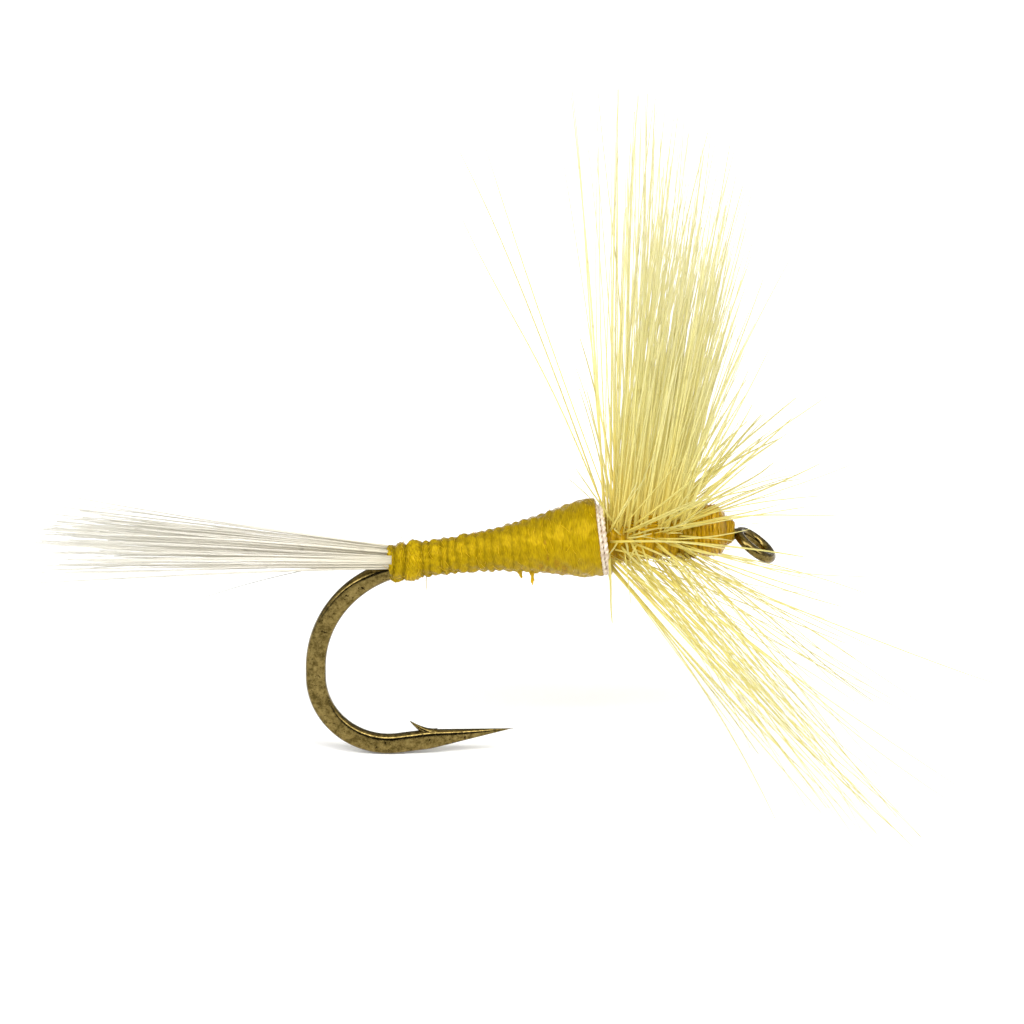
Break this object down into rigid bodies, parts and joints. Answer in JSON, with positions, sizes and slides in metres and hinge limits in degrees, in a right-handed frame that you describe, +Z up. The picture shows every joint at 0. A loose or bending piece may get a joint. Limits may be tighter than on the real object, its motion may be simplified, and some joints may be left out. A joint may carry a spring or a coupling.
{
  "type": "dry fly",
  "caption": "Dry fly: upright divided wing, wound hackle, floss body and fibre tail tied on a barbed down-eye hook; it stands on its hook bend and hackle tips.",
  "frame": {"origin": "centre of the hook's ring eye", "axes": "+X forward, out past the eye, level with the table; +Y to the fly's left; +Z up as the fly stands on its hook bend and hackle tips"},
  "size_m": [0.0228, 0.0154, 0.0173],
  "materials": {
    "bronzed_wire": "bronze-lacquered forged steel wire",
    "thread": "waxed ochre tying thread",
    "floss": "gold multi-filament floss with a low sheen",
    "tail_fibre": "off-white feather fibre",
    "wing_fibre": "pale straw feather fibre",
    "hackle_barb": "glossy straw hackle barb",
    "quill": "pale pinkish feather quill",
    "cement": "clear glossy head lacquer"
  },
  "bodies": {
    "root": {"hook": "bronzed_wire", "thread_base": "thread", "tail_fibres": "tail_fibre", "tail_butts": "tail_fibre", "tail_lashing": "floss", "underbody": "thread", "body_floss": "floss", "floss_nib": "floss", "floss_tag": "floss", "wing_near": "wing_fibre", "wing_far": "wing_fibre", "wing_butts": "wing_fibre", "wing_binding": "thread", "hackle_stem_rear": "quill", "hackle_stem_front": "quill", "hackle_barbs_rear": "hackle_barb", "hackle_barbs_front": "hackle_barb", "stem_tag": "quill", "thorax_thread": "thread", "head_thread": "thread", "whip_finish": "thread", "head_cement": "cement"}
  },
  "joints": []
}
